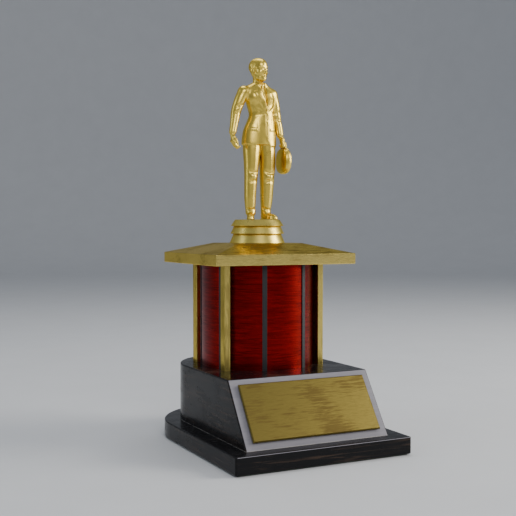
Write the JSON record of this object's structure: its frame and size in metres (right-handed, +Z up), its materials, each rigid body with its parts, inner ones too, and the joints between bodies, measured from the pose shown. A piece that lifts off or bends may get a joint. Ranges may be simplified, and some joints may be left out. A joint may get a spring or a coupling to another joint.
{
  "type": "column trophy",
  "caption": "Trophy with a gold standing figure in a suit on a tiered riser, a gold cap, a red column with gold posts, and a sloped black base with a blank nameplate.",
  "frame": {"origin": "on the surface that the trophy stands on, at the middle of the plinth's width and depth", "axes": "+Z up through the trophy, +X to the right as seen from the nameplate side, -Y the way the nameplate and the figure face"},
  "size_m": [0.13, 0.168, 0.275],
  "materials": {
    "felt": "dark felt",
    "black_lacquer": "gloss black lacquer with faint brown grain and edges worn lighter",
    "steel": "zinc plated",
    "tape": "black foam tape",
    "aged_gold": "glossy aged gold with dark streaks along the length",
    "red_foil": "deep red metallic foil with fine level streaks",
    "strip_black": "semi-gloss near black",
    "core_wood": "bare wood",
    "satin_gold": "satin gold plate",
    "polished_gold": "bright gold plate, darker in the creases"
  },
  "bodies": {
    "stand": {"felt_pad": "felt", "plinth": "black_lacquer", "wood_screws": "steel", "base_block": "black_lacquer", "nameplate_tape": "tape", "nameplate": "aged_gold", "tie_rod": "steel", "bottom_washer": "steel", "bottom_nut": "steel", "column_tube": "red_foil", "column_plug_lower": "core_wood", "column_plug_upper": "core_wood", "column_strip_1": "strip_black", "column_strip_2": "strip_black", "column_strip_3": "strip_black", "column_strip_4": "strip_black", "column_strip_5": "strip_black", "column_strip_6": "strip_black", "column_strip_7": "strip_black", "column_strip_8": "strip_black", "post_front_left": "aged_gold", "post_front_right": "aged_gold", "post_back_left": "aged_gold", "post_back_right": "aged_gold", "post_pins_lower": "core_wood", "post_pins_upper": "core_wood", "cap_core": "core_wood", "cap_cover": "aged_gold"},
    "figure_top": {"riser": "satin_gold", "riser_nut": "steel", "figure_base": "satin_gold", "figure_screw": "steel", "figure": "polished_gold", "bag": "polished_gold"}
  },
  "joints": [
    {"name": "figure_turn", "type": "hinge", "parent": "stand", "child": "figure_top", "pos_m": [0, 0.0175, 0.1411], "axis": [0, 0, 1], "continuous": true}
  ]
}
